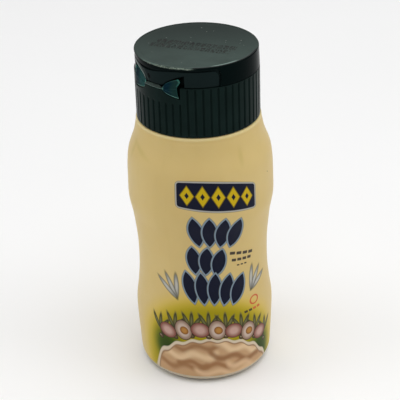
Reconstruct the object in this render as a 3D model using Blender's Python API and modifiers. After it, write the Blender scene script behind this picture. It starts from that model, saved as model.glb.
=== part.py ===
"""A shut squeeze bottle of mayonnaise: a blown bottle, a ribbed closure and a hinged snap lid.

Metres, +Z up. The bottle stands on z = 0 with its axis on the Z axis, and its printed side faces -Y.
Angles round the axis are in degrees, start at -Y and grow towards +X.
"""

import math

import bmesh
import bpy
from mathutils import Matrix, Vector

MM = 0.001

# Whole bottle
TOTAL_HEIGHT = 148.0 * MM
GAP = 0.3 * MM
WELD_DISTANCE = 0.005 * MM
CUTTER_OVERRUN = 1.0 * MM

# Body, as stations of height and radius from the shoulder down to the heel
BODY_STATIONS = (
    (116.8 * MM, 26.0 * MM),
    (110.9 * MM, 27.2 * MM),
    (103.6 * MM, 29.75 * MM),
    (97.6 * MM, 30.55 * MM),
    (90.6 * MM, 30.8 * MM),
    (82.2 * MM, 30.85 * MM),
    (73.9 * MM, 29.4 * MM),
    (61.2 * MM, 28.15 * MM),
    (53.2 * MM, 28.0 * MM),
    (45.8 * MM, 28.2 * MM),
    (37.7 * MM, 29.0 * MM),
    (30.3 * MM, 30.0 * MM),
    (21.9 * MM, 29.95 * MM),
    (6.0 * MM, 29.2 * MM),
)
STEPS_PER_STATION = 2
SHOULDER_EDGE_RADIUS = 0.9 * MM
HEEL_RADIUS = 6.0 * MM
FOOT_INNER_RADIUS = 19.5 * MM
BASE_DISH_RADIUS = 17.0 * MM
BASE_DISH_DEPTH = 1.4 * MM
NECK_RADIUS = 19.0 * MM
NECK_LENGTH = 10.0 * MM
BODY_FACETS = 64

# Closure, with the lid shut on it
CLOSURE_HEIGHT = 29.4 * MM
LID_HEIGHT = 8.2 * MM
SEAM_RADIUS = 25.5 * MM
SKIRT_FOOT_RADIUS = 25.6 * MM
LID_RIM_RADIUS = 25.15 * MM
LID_EDGE_RADIUS = 0.7 * MM
CLOSURE_EDGE = 0.25 * MM
RIB_COUNT = 52
GROOVE_WIDTH = 1.05 * MM
GROOVE_DEPTH = 0.4 * MM
CLOSURE_FACETS = 2 * RIB_COUNT

# Hinge, in degrees to either side of its middle and in depths below the top of the lid
HINGE_ANGLE = -56.5
STRAP_HALF_ANGLE = 10.0
NOTCH_HALF_ANGLE = 28.0
LID_CUT_HALF_ANGLE = 32.0
HINGE_AXIS_DEPTH = 9.1 * MM
STRAP_RADIUS = 0.55 * MM
STRAP_INSET = 0.3 * MM
STRAP_END_GAP = 0.8
STRAP_POINTS = 9
WING_TOP_DEPTH = 4.6 * MM
WING_FOOT_DEPTH = 13.0 * MM
LID_CUT_TOP_DEPTH = 3.3 * MM
LID_CUT_SPREAD = 0.7
NOTCH_FLOOR_DEPTH = 10.0 * MM
NOTCH_FOOT_DEPTH = 13.6 * MM
NOTCH_SPREAD = 0.6
WINDOW_DEPTH = 15.3 * MM
HINGE_POCKET_RADIUS = 22.3 * MM
WING_THICKNESS = 0.5 * MM
WING_TIP_GAP = 0.9
WING_TIP_HALF_HEIGHT = 0.35 * MM
WING_SPREAD = 0.55
WING_INSET = 0.2 * MM
WING_LEAN = 0.45 * MM
WING_BOW = 0.3 * MM
WING_ROWS = 7
WING_FREE_EDGE = (26.8, 27.7, 25.6, 25.2, 25.4, 25.8, 26.5)

# Recess in the lid's wall round the hinge, with a deeper moat round its panel
RECESS_RADIUS = 25.0 * MM
RECESS_HALF_ANGLE = 65.3
RECESS_END_ANGLE = 3.5
RIM_DEPTH = 0.8 * MM
RIM_DEPTH_AT_HINGE = 2.25 * MM
RIM_DIP_HALF_ANGLE = 32.0
MOAT_RADIUS = 24.2 * MM
MOAT_HEIGHT = 1.05 * MM
MOAT_END_ANGLE = 1.4
RECESS_OVERRUN = 0.6 * MM
RECESS_TIP = 0.05

# Thumb hollow under the lid's edge, opposite the hinge
THUMB_RADIUS = 7.5 * MM
THUMB_DROP = 3.6 * MM
THUMB_FLOOR_RADIUS = 23.9 * MM
THUMB_CUTTER_LENGTH = 6.0 * MM

SEAM_HEIGHT = TOTAL_HEIGHT - LID_HEIGHT
CLOSURE_FOOT = TOTAL_HEIGHT - CLOSURE_HEIGHT

MAYONNAISE_CREAM = (0.62, 0.50, 0.25)
CLOSURE_GREEN = (0.012, 0.026, 0.024)
HINGE_TEAL = (0.02, 0.11, 0.11)


def clear_scene():
    """Remove every object, so that the file holds this model alone."""
    for item in list(bpy.data.objects):
        bpy.data.objects.remove(item, do_unlink=True)


def new_collection(name):
    """Return a new collection in the scene."""
    collection = bpy.data.collections.new(name)
    bpy.context.scene.collection.children.link(collection)
    return collection


def plastic(name, colour, roughness):
    """Return a moulded plastic of one colour."""
    material = bpy.data.materials.new(name)
    material.use_nodes = True
    shader = material.node_tree.nodes["Principled BSDF"]
    shader.inputs["Base Color"].default_value = (*colour, 1.0)
    shader.inputs["Roughness"].default_value = roughness
    shader.inputs["Metallic"].default_value = 0.0
    return material


def around(angle, radius, height):
    """Return the point at an angle round the axis."""
    turn = math.radians(angle)
    return Vector((radius * math.sin(turn), -radius * math.cos(turn), height))


def arc(centre_radius, centre_height, size, start, end, steps):
    """Return the points of an arc in the turned profile, with angles in degrees from +X."""
    points = []
    for step in range(steps + 1):
        turn = math.radians(start + (end - start) * step / steps)
        points.append((centre_radius + size * math.cos(turn), centre_height + size * math.sin(turn)))
    return points


def smooth_wall(stations, steps):
    """Return the radius and height of points on one smooth curve through the stations."""
    slopes = []
    for index in range(len(stations)):
        before = stations[max(index - 1, 0)]
        after = stations[min(index + 1, len(stations) - 1)]
        slopes.append((after[1] - before[1]) / (after[0] - before[0]))
    points = []
    for index in range(len(stations) - 1):
        height, radius = stations[index]
        next_height, next_radius = stations[index + 1]
        span = next_height - height
        for step in range(steps):
            t = step / steps
            blend = t * t * (3.0 - 2.0 * t)
            swing = span * (slopes[index] * t * (1.0 - t) ** 2 - slopes[index + 1] * t * t * (1.0 - t))
            points.append((radius + (next_radius - radius) * blend + swing, height + span * t))
    last_height, last_radius = stations[-1]
    points.append((last_radius, last_height))
    return points


def mesh_object(name, bm, collection):
    """Turn a bmesh into an object."""
    mesh = bpy.data.meshes.new(name)
    bm.to_mesh(mesh)
    bm.free()
    item = bpy.data.objects.new(name, mesh)
    collection.objects.link(item)
    return item


def turned(name, profile, facets, collection):
    """Turn a profile of radius and height, given from the top down, round the Z axis."""
    bm = bmesh.new()
    corners = [bm.verts.new((radius, 0.0, height)) for radius, height in profile]
    for upper, lower in zip(corners, corners[1:]):
        bm.edges.new((upper, lower))
    item = mesh_object(name, bm, collection)
    screw = item.modifiers.new("Turn", "SCREW")
    screw.axis = "Z"
    screw.angle = 2.0 * math.pi
    screw.steps = facets
    screw.render_steps = facets
    screw.use_merge_vertices = True
    screw.merge_threshold = WELD_DISTANCE
    return item


def sector_block(name, start, end, steps, inner, outer, low, high, collection):
    """Build a block round the axis whose floor and roof follow two functions of the angle."""
    bm = bmesh.new()
    sections = []
    for step in range(steps + 1):
        angle = start + (end - start) * step / steps
        floor = low(angle)
        roof = high(angle)
        corners = ((inner, floor), (outer, floor), (outer, roof), (inner, roof))
        turn = HINGE_ANGLE + angle
        sections.append([bm.verts.new(around(turn, radius, height)) for radius, height in corners])
    for near, far in zip(sections, sections[1:]):
        for side in range(4):
            after = (side + 1) % 4
            bm.faces.new((near[side], near[after], far[after], far[side]))
    bm.faces.new(sections[0])
    bm.faces.new(list(reversed(sections[-1])))
    bmesh.ops.recalc_face_normals(bm, faces=bm.faces)
    return mesh_object(name, bm, collection)


def cut(item, cutter):
    """Cut one closed solid out of another."""
    modifier = item.modifiers.new("Cut " + cutter.name, "BOOLEAN")
    modifier.operation = "DIFFERENCE"
    modifier.solver = "EXACT"
    modifier.object = cutter
    cutter.hide_render = True
    cutter.display_type = "WIRE"


def shade_round(item, sharp_degrees=35.0):
    """Shade a piece smooth, with its corners sharp."""
    item.data.shade_smooth()
    item.data.set_sharp_from_angle(angle=math.radians(sharp_degrees))


def bottle_profile():
    """Return the bottle's outline, from the top of its neck to the middle of its base."""
    ledge = CLOSURE_FOOT - GAP
    shoulder_radius = BODY_STATIONS[0][1]
    heel_radius = BODY_STATIONS[-1][1]
    neck = [(0.0, ledge + NECK_LENGTH), (NECK_RADIUS, ledge + NECK_LENGTH), (NECK_RADIUS, ledge)]
    edge_middle = (shoulder_radius - SHOULDER_EDGE_RADIUS, ledge - SHOULDER_EDGE_RADIUS)
    edge = arc(*edge_middle, SHOULDER_EDGE_RADIUS, 90.0, 0.0, 4)
    wall = smooth_wall(BODY_STATIONS, STEPS_PER_STATION)
    heel = arc(heel_radius - HEEL_RADIUS, HEEL_RADIUS, HEEL_RADIUS, 0.0, -90.0, 6)
    foot = [(FOOT_INNER_RADIUS, 0.0), (BASE_DISH_RADIUS, BASE_DISH_DEPTH), (0.0, BASE_DISH_DEPTH)]
    return neck + edge + wall + heel[1:] + foot


def build_bottle(collection, material):
    """Blow the bottle, which is solid, as the shut pack can't be seen into."""
    bottle = turned("bottle", bottle_profile(), BODY_FACETS, collection)
    bottle.data.materials.append(material)
    shade_round(bottle)
    return bottle


def groove_cutter(collection):
    """Build the grooves between the ribs, which stop under the smooth window of the hinge."""
    bm = bmesh.new()
    foot = CLOSURE_FOOT - CUTTER_OVERRUN
    for index in range(RIB_COUNT):
        angle = 360.0 * index / RIB_COUNT
        off_hinge = min(angle, 360.0 - angle)
        in_window = off_hinge < NOTCH_HALF_ANGLE
        top = TOTAL_HEIGHT - WINDOW_DEPTH if in_window else SEAM_HEIGHT + CUTTER_OVERRUN
        middle = around(HINGE_ANGLE + angle, SKIRT_FOOT_RADIUS, 0.5 * (foot + top))
        spin = Matrix.Rotation(math.radians(HINGE_ANGLE + angle), 4, "Z")
        size = Matrix.Diagonal((GROOVE_WIDTH, 2.0 * GROOVE_DEPTH, top - foot, 1.0))
        bmesh.ops.create_cube(bm, size=1.0, matrix=Matrix.Translation(middle) @ spin @ size)
    return mesh_object("groove_cutter", bm, collection)


def notch_floor(angle):
    """Return the height of the notch that lets the wings into the closure."""
    off_hinge = abs(angle)
    if off_hinge <= STRAP_HALF_ANGLE:
        return TOTAL_HEIGHT - NOTCH_FLOOR_DEPTH
    part = (off_hinge - STRAP_HALF_ANGLE) / (NOTCH_HALF_ANGLE - STRAP_HALF_ANGLE)
    depth = NOTCH_FLOOR_DEPTH + (NOTCH_FOOT_DEPTH - NOTCH_FLOOR_DEPTH) * part ** NOTCH_SPREAD
    return TOTAL_HEIGHT - depth


def build_closure_base(collection, cutters, material):
    """Build the ribbed skirt, bored for the neck and notched for the hinge."""
    top = SEAM_HEIGHT - GAP
    profile = [
        (0.0, top),
        (SEAM_RADIUS - CLOSURE_EDGE, top),
        (SEAM_RADIUS, top - CLOSURE_EDGE),
        (SKIRT_FOOT_RADIUS, CLOSURE_FOOT + CLOSURE_EDGE),
        (SKIRT_FOOT_RADIUS - CLOSURE_EDGE, CLOSURE_FOOT),
        (NECK_RADIUS + GAP, CLOSURE_FOOT),
        (NECK_RADIUS + GAP, CLOSURE_FOOT + NECK_LENGTH),
        (0.0, CLOSURE_FOOT + NECK_LENGTH),
    ]
    base = turned("closure_base", profile, CLOSURE_FACETS, collection)
    base.data.materials.append(material)
    shade_round(base)
    cut(base, groove_cutter(cutters))
    outside = SKIRT_FOOT_RADIUS + CUTTER_OVERRUN
    notch = sector_block(
        "notch_cutter", -NOTCH_HALF_ANGLE, NOTCH_HALF_ANGLE, 22, HINGE_POCKET_RADIUS, outside,
        notch_floor, lambda angle: SEAM_HEIGHT + CUTTER_OVERRUN, cutters)
    cut(base, notch)
    cut(base, thumb_cutter(cutters))
    return base


def thumb_cutter(collection):
    """Build the round hollow under the lid's edge, where a thumb lifts it."""
    bm = bmesh.new()
    bmesh.ops.create_cone(
        bm, cap_ends=True, segments=40, radius1=THUMB_RADIUS, radius2=THUMB_RADIUS, depth=THUMB_CUTTER_LENGTH)
    cutter = mesh_object("thumb_cutter", bm, collection)
    front = HINGE_ANGLE + 180.0
    height = SEAM_HEIGHT + THUMB_RADIUS - THUMB_DROP
    place = Matrix.Translation(around(front, THUMB_FLOOR_RADIUS + 0.5 * THUMB_CUTTER_LENGTH, height))
    turn = Matrix.Rotation(math.radians(front), 4, "Z")
    lay_down = Matrix.Rotation(math.radians(90.0), 4, "X")
    cutter.matrix_world = place @ turn @ lay_down
    return cutter


def recess_mouth(angle, inset=0.0):
    """Return how open the recess is at an angle, from 0 at its round ends to 1."""
    inside = (RECESS_HALF_ANGLE - inset - abs(angle)) / RECESS_END_ANGLE
    return math.sqrt(max(0.0, 1.0 - (1.0 - min(max(inside, 0.0), 1.0)) ** 2))


def rim_depth(angle):
    """Return how far down the rim's lower edge lies at an angle, which dips at the hinge."""
    part = min(abs(angle) / RIM_DIP_HALF_ANGLE, 1.0)
    dip = 0.5 + 0.5 * math.cos(math.pi * part)
    return RIM_DEPTH + (RIM_DEPTH_AT_HINGE - RIM_DEPTH) * dip


def recess_roof(angle):
    """Return the height of the recess's upper edge."""
    middle = 0.5 * (rim_depth(angle) + LID_HEIGHT)
    return TOTAL_HEIGHT - middle + (middle - rim_depth(angle)) * recess_mouth(angle)


def recess_floor(angle):
    """Return the height of the recess's lower edge, which runs out through the seam."""
    middle = 0.5 * (RIM_DEPTH + LID_HEIGHT)
    depth = middle + (LID_HEIGHT + RECESS_OVERRUN - middle) * recess_mouth(angle)
    return TOTAL_HEIGHT - depth


def moat_floor(angle):
    """Return the height of the panel's upper edge, which is the moat's lower one."""
    if abs(angle) > RECESS_HALF_ANGLE - MOAT_END_ANGLE:
        return recess_floor(angle)
    depth = rim_depth(angle) + MOAT_HEIGHT
    middle = 0.5 * (depth + LID_HEIGHT)
    return TOTAL_HEIGHT - middle + (middle - depth) * recess_mouth(angle, MOAT_END_ANGLE)


def flap_edge(angle):
    """Return the height of the slanting edge from which a wing hangs."""
    part = (abs(angle) - STRAP_HALF_ANGLE) / (LID_CUT_HALF_ANGLE - STRAP_HALF_ANGLE)
    depth = LID_HEIGHT + (LID_CUT_TOP_DEPTH - LID_HEIGHT) * max(part, 0.0) ** LID_CUT_SPREAD
    return TOTAL_HEIGHT - depth


def build_lid(collection, cutters, material):
    """Build the lid, with the recess in its wall and the two cuts for the wings."""
    profile = [(0.0, TOTAL_HEIGHT)]
    profile += arc(
        LID_RIM_RADIUS - LID_EDGE_RADIUS, TOTAL_HEIGHT - LID_EDGE_RADIUS, LID_EDGE_RADIUS, 90.0, 0.0, 4)
    profile += [(SEAM_RADIUS, SEAM_HEIGHT), (0.0, SEAM_HEIGHT)]
    lid = turned("lid", profile, CLOSURE_FACETS, collection)
    lid.data.materials.append(material)
    shade_round(lid)
    outside = SEAM_RADIUS + CUTTER_OVERRUN
    reach = RECESS_HALF_ANGLE - RECESS_TIP
    recess = sector_block(
        "recess_cutter", -reach, reach, 80, RECESS_RADIUS, outside, recess_floor, recess_roof, cutters)
    cut(lid, recess)
    moat = sector_block(
        "moat_cutter", -reach, reach, 120, MOAT_RADIUS, outside, moat_floor, recess_roof, cutters)
    cut(lid, moat)
    for side, label in ((1.0, "right"), (-1.0, "left")):
        start, end = sorted((side * STRAP_HALF_ANGLE, side * LID_CUT_HALF_ANGLE))
        wing_cut = sector_block(
            "wing_cutter_" + label, start, end, 10, HINGE_POCKET_RADIUS, outside,
            lambda angle: SEAM_HEIGHT - CUTTER_OVERRUN, flap_edge, cutters)
        cut(lid, wing_cut)
    return lid


def build_strap(collection, material):
    """Build the strap between the wings, a round band that bends as the lid opens."""
    curve = bpy.data.curves.new("hinge_strap", "CURVE")
    curve.dimensions = "3D"
    curve.bevel_depth = STRAP_RADIUS
    curve.bevel_resolution = 2
    curve.use_fill_caps = True
    spline = curve.splines.new("POLY")
    spline.points.add(STRAP_POINTS - 1)
    reach = STRAP_HALF_ANGLE - STRAP_END_GAP
    for index in range(STRAP_POINTS):
        angle = HINGE_ANGLE - reach + 2.0 * reach * index / (STRAP_POINTS - 1)
        place = around(angle, SEAM_RADIUS - STRAP_INSET, TOTAL_HEIGHT - HINGE_AXIS_DEPTH)
        spline.points[index].co = (*place, 1.0)
    strap = bpy.data.objects.new("hinge_strap", curve)
    collection.objects.link(strap)
    curve.materials.append(material)
    return strap


def wing_point(side, along, across):
    """Return a point of a wing: along it from its tip, and across it from top to foot."""
    tip = STRAP_HALF_ANGLE + WING_TIP_GAP
    tip_top = HINGE_AXIS_DEPTH - WING_TIP_HALF_HEIGHT
    tip_foot = HINGE_AXIS_DEPTH + WING_TIP_HALF_HEIGHT
    free_edge = WING_FREE_EDGE[round(across * (WING_ROWS - 1))]
    angle = tip + (free_edge - tip) * along
    spread = along ** WING_SPREAD
    top = tip_top + (WING_TOP_DEPTH - tip_top) * spread
    foot = tip_foot + (WING_FOOT_DEPTH - tip_foot) * spread
    swell = math.sin(math.pi * across) * along
    radius = SEAM_RADIUS - WING_INSET - WING_LEAN * (1.0 - across) * along + WING_BOW * swell
    turn = HINGE_ANGLE + side * angle
    return around(turn, radius, TOTAL_HEIGHT - top - (foot - top) * across)


def build_wing(side, label, collection, material):
    """Build one wing, the springy web between the lid's cut and the closure's notch."""
    bm = bmesh.new()
    last = WING_ROWS - 1
    grid = []
    for step in range(WING_ROWS):
        row = [wing_point(side, step / last, part / last) for part in range(WING_ROWS)]
        grid.append([bm.verts.new(place) for place in row])
    for near, far in zip(grid, grid[1:]):
        for part in range(last):
            corners = [near[part], near[part + 1], far[part + 1], far[part]]
            bm.faces.new(corners if side > 0.0 else list(reversed(corners)))
    wing = mesh_object("hinge_wing_" + label, bm, collection)
    wall = wing.modifiers.new("Wall", "SOLIDIFY")
    wall.thickness = WING_THICKNESS
    wall.offset = -1.0
    wing.data.materials.append(material)
    wing.data.shade_smooth()
    return wing


def main():
    clear_scene()
    parts = new_collection("mayonnaise_squeeze_bottle")
    cutters = new_collection("cutters")
    cream = plastic("cream_bottle_plastic", MAYONNAISE_CREAM, 0.35)
    green = plastic("dark_green_closure_plastic", CLOSURE_GREEN, 0.4)
    teal = plastic("thin_teal_hinge_plastic", HINGE_TEAL, 0.35)
    build_bottle(parts, cream)
    build_closure_base(parts, cutters, green)
    build_lid(parts, cutters, green)
    build_strap(parts, teal)
    build_wing(1.0, "right", parts, teal)
    build_wing(-1.0, "left", parts, teal)


main()
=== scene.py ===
"""Looks of a shut squeeze bottle of mayonnaise: printed bottle, ribbed closure, snap lid and butterfly hinge.

Metres, +Z up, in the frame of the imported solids. The printed side faces -Y. Angles round the axis are in
degrees, start at -Y and grow towards +X. Depths on the closure are measured down from the top of the lid.
"""

import math

import bmesh
import bpy
from mathutils import Matrix, Vector


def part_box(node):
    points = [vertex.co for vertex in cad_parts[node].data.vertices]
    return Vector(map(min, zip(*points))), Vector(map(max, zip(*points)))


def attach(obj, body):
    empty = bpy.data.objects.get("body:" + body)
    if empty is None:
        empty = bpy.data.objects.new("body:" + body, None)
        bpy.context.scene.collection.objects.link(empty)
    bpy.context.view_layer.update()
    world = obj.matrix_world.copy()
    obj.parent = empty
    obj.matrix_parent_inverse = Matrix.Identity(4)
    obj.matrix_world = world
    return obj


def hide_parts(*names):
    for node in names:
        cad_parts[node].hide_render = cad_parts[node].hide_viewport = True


MM = 0.001
BODY = "root"

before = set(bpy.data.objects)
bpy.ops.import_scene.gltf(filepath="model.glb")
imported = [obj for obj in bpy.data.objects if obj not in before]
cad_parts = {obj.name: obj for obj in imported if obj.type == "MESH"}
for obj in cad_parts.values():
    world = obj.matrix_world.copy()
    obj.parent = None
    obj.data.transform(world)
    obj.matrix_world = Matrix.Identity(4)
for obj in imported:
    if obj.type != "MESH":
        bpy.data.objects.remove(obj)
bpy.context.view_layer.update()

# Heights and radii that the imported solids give
LID_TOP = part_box("lid")[1].z
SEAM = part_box("lid")[0].z
SEAM_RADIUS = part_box("lid")[1].x
SKIRT_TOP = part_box("closure_base")[1].z
SKIRT_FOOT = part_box("closure_base")[0].z
SKIRT_FOOT_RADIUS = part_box("closure_base")[1].x
SKIRT_TOP_RADIUS = SEAM_RADIUS
SKIRT_TAPER = (SKIRT_FOOT_RADIUS - SKIRT_TOP_RADIUS) / (SKIRT_TOP - SKIRT_FOOT)

# Bottle, as stations of height and radius from the shoulder down to the heel
GAP = 0.3 * MM
STATIONS = (
    (116.8 * MM, 26.0 * MM),
    (110.9 * MM, 27.2 * MM),
    (103.6 * MM, 29.75 * MM),
    (97.6 * MM, 30.55 * MM),
    (90.6 * MM, 30.77 * MM),
    (82.2 * MM, 30.82 * MM),
    (73.9 * MM, 29.4 * MM),
    (61.2 * MM, 28.15 * MM),
    (53.2 * MM, 28.0 * MM),
    (45.8 * MM, 28.2 * MM),
    (37.7 * MM, 29.0 * MM),
    (30.3 * MM, 30.0 * MM),
    (21.9 * MM, 29.95 * MM),
    (6.0 * MM, 29.2 * MM),
)
SHOULDER_EDGE = 0.9 * MM
SHOULDER_GROOVE_DROP = 2.1 * MM
SHOULDER_GROOVE_DEPTH = 0.12 * MM
SHOULDER_GROOVE_WIDTH = 0.45 * MM
HEEL_RADIUS = 6.0 * MM
FOOT_INNER_RADIUS = 19.5 * MM
DISH_RADIUS = 17.0 * MM
DISH_DEPTH = 1.4 * MM
NECK_RADIUS = 19.0 * MM
NECK_LENGTH = 10.0 * MM
BOTTLE_FACETS = 256

# Closure and lid
LID_EDGE = 0.38 * MM
LID_RIM_RADIUS = 25.15 * MM
LID_DISH = 0.12 * MM
LID_DISH_RADIUS = 22.4 * MM
LID_TOP_RINGS = (0.0, 6.0 * MM, 11.0 * MM, 15.0 * MM, 19.0 * MM, 22.0 * MM)
LID_GROOVE = ((23.0 * MM, 0.02 * MM), (23.5 * MM, 0.06 * MM), (23.9 * MM, 0.0))
SMALL_EDGE = 0.14 * MM
LID_COLUMNS = 480
CLOSURE_COLUMNS = 832
RIB_COUNT = 52
RIB_DEPTH = 0.42 * MM
RIB_FLOOR = 0.34 * MM
RIB_FLANK = 0.34 * MM
RIB_RUN_OUT = 0.55 * MM
RIB_FOOT = 0.3 * MM
RIB_FOOT_RUN_OUT = 0.45 * MM
WALL_ROWS = 40

# Hinge: angles are off its middle
HINGE_ANGLE = -56.5
STRAP_HALF_ANGLE = 10.0
NOTCH_HALF_ANGLE = {"right": 28.0, "left": 31.0}
FLAP_HALF_ANGLE = 32.0
STRAP_FOOT_DEPTH = 9.8 * MM
NOTCH_FLOOR_DEPTH = 9.85 * MM
WINDOW_DEPTH = 15.3 * MM
POCKET_RADIUS = 22.3 * MM
FLAP_EDGE = {"right": 1.1 * MM, "left": 0.35 * MM}
FLAP_GAP = 0.16 * MM
NOTCH_GAP = 0.12 * MM

# Strap between the wings, whose ends thin out from a part of its reach on
STRAP_HALF_HEIGHT = 0.72 * MM
STRAP_HALF_DEPTH = 0.5 * MM
STRAP_TAPER_START = 0.66
STRAP_TAPER_RUN = 0.26
STRAP_TAPER = 0.4
HINGE_INSET = 0.28 * MM

# Wings: fans from a tip beside the strap to a free edge, whose angles run from its curled top to its foot
WING_TIP_ANGLE = 10.6
WING_TIP_DEPTH = 9.4 * MM
WING_RISE = 4.8 * MM
WING_FALL = {"right": 3.5 * MM, "left": 3.9 * MM}
WING_REACH = 16.0
WING_TOP_SPREAD = {"right": 0.5, "left": 0.42}
WING_FOOT_SPREAD = {"right": 0.42, "left": 0.3}
WING_BOW = {"right": 0.3 * MM, "left": 0.5 * MM}
WING_LEAN = 0.25 * MM
WING_CREASE = 0.1 * MM
WING_CURL = 0.55 * MM
WING_CURL_START = 0.7
WING_CURL_DEPTH = 0.34
WING_THICKNESS = 0.42 * MM
WING_ROWS = 20
WING_FREE_EDGE = {
    "right": ((0.0, 26.8), (0.13, 28.4), (0.26, 27.4), (0.36, 25.7), (0.5, 25.2), (0.72, 25.5), (1.0, 26.6)),
    "left": ((0.0, 28.4), (0.2, 30.2), (0.5, 30.6), (0.8, 30.2), (1.0, 29.4)),
}

# Colour of each wing at its tip and at its free edge, which differ between the wings as painted light and
# shade, and how strong the painted highlight on its free edge is
WING_TONES = {"right": ((10, 36, 48), (26, 50, 48), 0.15), "left": ((38, 72, 70), (8, 32, 40), 0.7)}

# Painted highlight of a thin ridge beside the lid's left flap, with a painted shadow line beside it: its
# start along and down from the hinge's middle, and its way
RIDGE_START = (-5.94 * MM, 3.74 * MM)
RIDGE_WAY = (0.608, 0.794)
RIDGE_LENGTH = 5.4 * MM

# Painted reflection on the bevel of that flap, its painted lit edge and the painted shadow of the dent beside
# the ridge
BEVEL_WIDTH = 2.3 * MM
LIT_EDGE_WIDTH = 1.05 * MM
DENT_PLACE = (1.5 * MM, 3.8 * MM)
DENT_RADIUS = 1.35 * MM

# Painted light on the lid's top: the side towards which it is painted lighter, and how wide the painted shade
# on its rim is round the right
LIT_SIDE_ANGLE = -12.5
RIM_SHADE_WIDTH = 0.95 * MM

# Recess in the lid's wall, with a moat round its panel
RECESS_RADIUS = 25.0 * MM
RECESS_HALF_ANGLE = 65.3
RECESS_END_ANGLE = 4.6
RECESS_OVERRUN = 0.6 * MM
MOAT_RADIUS = 24.2 * MM
MOAT_HEIGHT = 1.05 * MM
MOAT_END_ANGLE = 1.7
RIM_DEPTH = 0.8 * MM
RIM_DEPTH_AT_HINGE = 2.5 * MM
RIM_DIP_MIDDLE = -10.0
RIM_DIP_HALF_ANGLE = 36.0

# Thumb hollow under the lid's edge, opposite the hinge
THUMB_RADIUS = 7.5 * MM
THUMB_DROP = 3.6 * MM
THUMB_FLOOR_RADIUS = 23.9 * MM

# Wear and ink on the lid: burrs between two angles, dust out to a reach, dots of ink in columns
BURR_COUNT = 420
BURR_START = -69.0
BURR_END = -18.0
BURR_SIZE = 0.17 * MM
DUST_REACH = 20.8 * MM
DUST_DENSITY = 70000.0
DUST_SIZE = 0.22 * MM
DUST_LIFT = -0.02 * MM
DOT_PITCH = 0.4 * MM
DOT_RISE = 0.56 * MM
DOT_RADIUS = 0.22 * MM
DOT_LIFT = 0.012 * MM
MARK_COLUMNS = 6
MARK_ROWS = 7
INK_LEFT_OUT = 0.68
INK_TURN = -33.5
INK_ROWS = (((0.1 * MM, 0.1 * MM), 14, 21), ((-3.4 * MM, -2.9 * MM), 14, 22))

# Print on the bottle, in millimetres along and up, which runs a little downhill
PRINT_RADIUS = 29.5
PRINT_SLOPE = 0.158

# Studio: each softbox by its angle off the camera, elevation, distance, width, height, watts and aim height
FLOOR_RADIUS = 4.0
WORLD_LIGHT = 0.29
SOFTBOXES = {
    "softbox_left": (-85.0, 20.0, 1.2, 0.7, 1.2, 2.95, 0.08),
    "softbox_right": (80.0, 20.0, 1.2, 0.7, 1.2, 2.8, 0.08),
    "softbox_above": (30.0, 80.0, 1.5, 1.5, 1.5, 16.0, 0.0),
    "softbox_back": (180.0, 24.0, 1.6, 1.6, 0.7, 4.0, 0.12),
}

# Camera, as fitted to the bottle's outline
CAMERA_ANGLE = -12.5
CAMERA_ELEVATION = 29.08
CAMERA_DISTANCE = 522.3 * MM
CAMERA_ROLL = 1.93
CAMERA_AIM_HEIGHT = 76.5 * MM
CAMERA_AIM_SIDE = -0.61 * MM
CAMERA_LENS = 109.35
CAMERA_SENSOR = 36.0


def paint(red, green, blue):
    """Return a colour given as it looks on a screen, from 0 to 255, as linear light."""
    linear = []
    for value in (red, green, blue):
        part = value / 255.0
        linear.append(part / 12.92 if part <= 0.04045 else ((part + 0.055) / 1.055) ** 2.4)
    return (*linear, 1.0)


def around(angle, radius, height):
    """Return the point at an angle round the axis."""
    turn = math.radians(angle)
    return Vector((radius * math.sin(turn), -radius * math.cos(turn), height))


def arc(centre_radius, centre_height, size, start, end, steps):
    """Return the points of an arc in a section, with angles in degrees from straight out."""
    points = []
    for step in range(steps + 1):
        turn = math.radians(start + (end - start) * step / steps)
        points.append((centre_radius + size * math.cos(turn), centre_height + size * math.sin(turn)))
    return points


class Flow:
    """A value that runs through a node tree, with Python's arithmetic."""

    def __init__(self, socket):
        self.socket = socket

    def __add__(self, other):
        return maths("ADD", self, other)

    def __radd__(self, other):
        return maths("ADD", other, self)

    def __sub__(self, other):
        return maths("SUBTRACT", self, other)

    def __rsub__(self, other):
        return maths("SUBTRACT", other, self)

    def __mul__(self, other):
        return maths("MULTIPLY", self, other)

    def __rmul__(self, other):
        return maths("MULTIPLY", other, self)

    def __truediv__(self, other):
        return maths("DIVIDE", self, other)

    def __rtruediv__(self, other):
        return maths("DIVIDE", other, self)

    def __abs__(self):
        return maths("ABSOLUTE", self)


def feed(target, value):
    """Link a value that flows, or set one that is constant."""
    if isinstance(value, Flow):
        value = value.socket
    if isinstance(value, bpy.types.NodeSocket):
        target.id_data.links.new(value, target)
    else:
        target.default_value = value


def place(tree, kind, inputs=None, **settings):
    """Add a node, with its settings and its inputs by name or number."""
    node = tree.nodes.new(kind)
    for name, value in settings.items():
        setattr(node, name, value)
    for key, value in (inputs or {}).items():
        feed(node.inputs[key], value)
    return node


def step_on(kind, inputs, out=0, **settings):
    """Add a node to the tree that its first flowing input runs through, and return what flows out of it."""
    source = next(value for value in inputs.values() if isinstance(value, Flow))
    return Flow(place(source.socket.id_data, kind, inputs, **settings).outputs[out])


def maths(operation, *values):
    """Add one step of arithmetic."""
    return step_on("ShaderNodeMath", dict(enumerate(values)), operation=operation)


def vector_maths(operation, *values, out="Vector"):
    """Add one step of arithmetic on vectors."""
    return step_on("ShaderNodeVectorMath", dict(enumerate(values)), out, operation=operation)


def ease(value, low, high, start=0.0, end=1.0):
    """Run smoothly from start to end while a value runs from low to high."""
    inputs = {"Value": value, "From Min": low, "From Max": high, "To Min": start, "To Max": end}
    return step_on("ShaderNodeMapRange", inputs, "Result", interpolation_type="SMOOTHSTEP", clamp=False)


def split(vector):
    """Return the three coordinates of a vector."""
    node = place(vector.socket.id_data, "ShaderNodeSeparateXYZ", {0: vector})
    return [Flow(socket) for socket in node.outputs]


def join(x, y, z=0.0):
    """Return a vector of three coordinates."""
    return step_on("ShaderNodeCombineXYZ", {0: x, 1: y, 2: z})


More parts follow.
